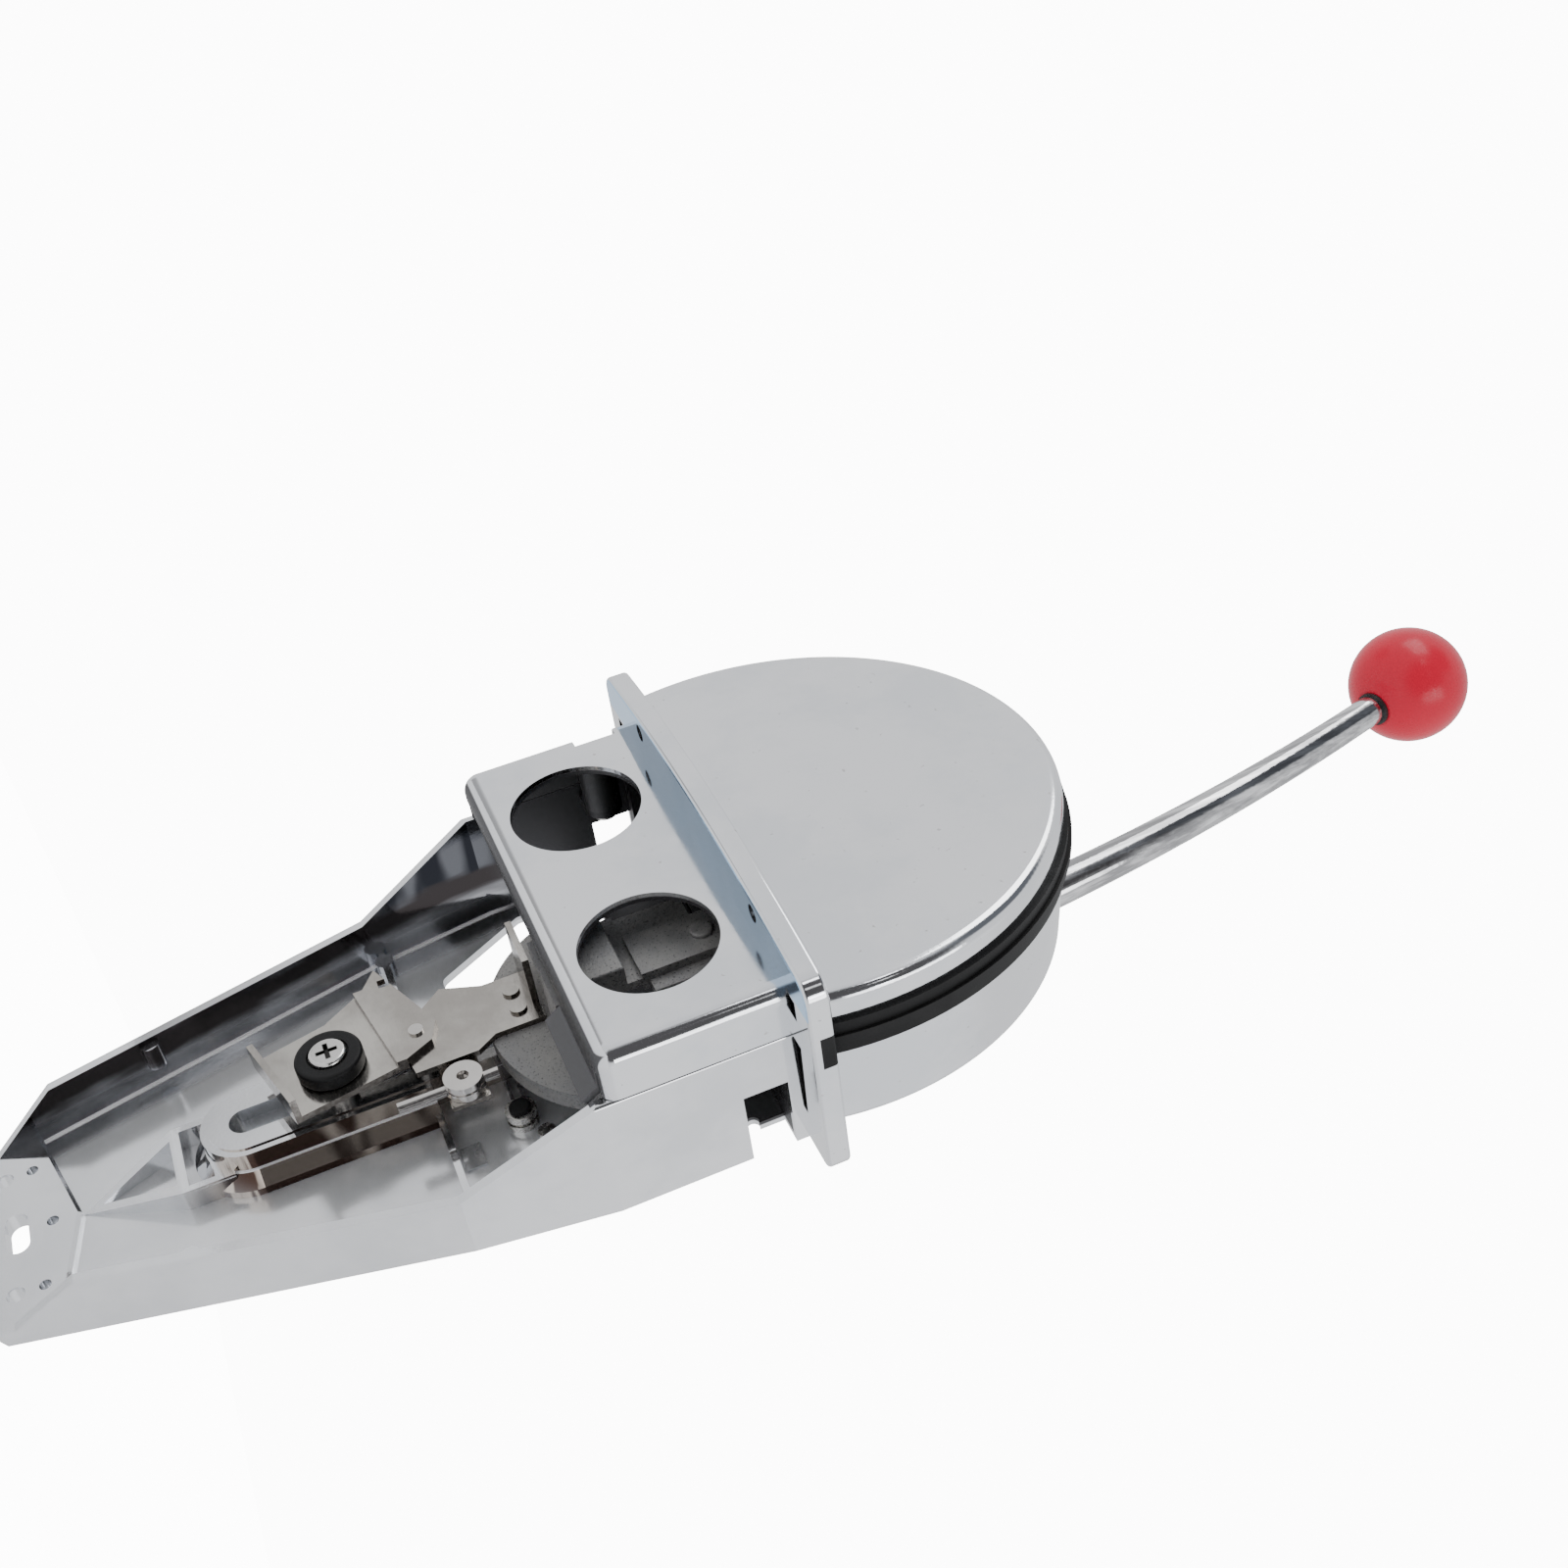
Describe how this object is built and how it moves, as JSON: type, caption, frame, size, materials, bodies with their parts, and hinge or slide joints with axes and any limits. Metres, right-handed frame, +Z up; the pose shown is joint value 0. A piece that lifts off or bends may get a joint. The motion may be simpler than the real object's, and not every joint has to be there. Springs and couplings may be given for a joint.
{
  "type": "boat throttle control lever",
  "caption": "Side-lever throttle control: half-oval chromed housing on a deck flange, lever with ball knob, and an open cast frame below with a slide that pulls the throttle cable.",
  "frame": {"origin": "middle of the four deck screws, on the underside of the deck flange", "axes": "+Z up out of the deck along the upright lever, +X along the flange's long side in the plane that the lever swings in, +Y from the housing cover to the lever"},
  "size_m": [0.167, 0.1153, 0.5419],
  "materials": {
    "chromed_casting": "satin chrome plate",
    "dark_casting": "dark, slightly rough cast face",
    "bright_chrome": "bright chrome plate",
    "red_knob": "high gloss",
    "black_plastic": "matte",
    "black_rubber": "matte",
    "stamped_steel": "warm grey nickel plate",
    "screws": "plated",
    "turned_steel": "turned",
    "bronze": "plain"
  },
  "bodies": {
    "base": {"frame_tray": "chromed_casting", "housing_shell": "chromed_casting", "housing_cover": "chromed_casting", "access_cover": "chromed_casting", "rim_seal": "black_rubber", "cover_screws": "screws", "access_cover_screws": "screws", "frame_screws": "screws", "front_shaft_bush": "bronze", "back_shaft_bush": "bronze", "shaft_seal": "black_rubber", "brake_pad": "black_plastic", "brake_washers": "screws", "brake_screw": "screws", "stop_post": "screws", "stop_buffer": "black_rubber", "floor_screw": "screws"},
    "lever": {"lever_rod": "bright_chrome", "lever_hub": "bright_chrome", "hub_cap": "bright_chrome", "hub_set_screw": "screws", "knob": "red_knob", "knob_collar": "black_plastic", "lever_shaft": "turned_steel", "crank": "stamped_steel", "shaft_key": "screws", "crank_pin": "turned_steel", "pin_clip": "screws"},
    "roller": {"crank_roller": "turned_steel"},
    "slide": {"yoke_arm": "dark_casting", "yoke_rivet": "stamped_steel", "link_plate": "stamped_steel", "link_rivets": "stamped_steel", "slide_bracket": "stamped_steel", "guide_sleeve": "turned_steel", "guide_pin": "turned_steel", "guide_bush": "black_rubber", "guide_screw": "screws"},
    "trunnion": {"trunnion_barrel": "turned_steel", "trunnion_clip": "screws", "cable_rod": "turned_steel"}
  },
  "joints": [
    {"name": "lever_swing", "type": "hinge", "parent": "base", "child": "lever", "pos_m": [0, 0.0535, 0.025], "axis": [0, 1, 0], "range_deg": [-40, 40]},
    {"name": "roller_spin", "type": "hinge", "parent": "lever", "child": "roller", "pos_m": [0.038, -0.0105, 0.025], "axis": [0, 1, 0], "continuous": true},
    {"name": "slide_travel", "type": "slide", "parent": "base", "child": "slide", "axis": [0, 0, 1], "range_m": [-0.025, 0.025]},
    {"name": "trunnion_turn", "type": "hinge", "parent": "slide", "child": "trunnion", "pos_m": [0.0214, 0.0145, -0.0855], "axis": [0, 1, 0], "range_deg": [-10, 10]}
  ],
  "couplings": [
    {"joint": "slide_travel", "follows": "lever_swing", "m_per_rad": -0.0357}
  ]
}
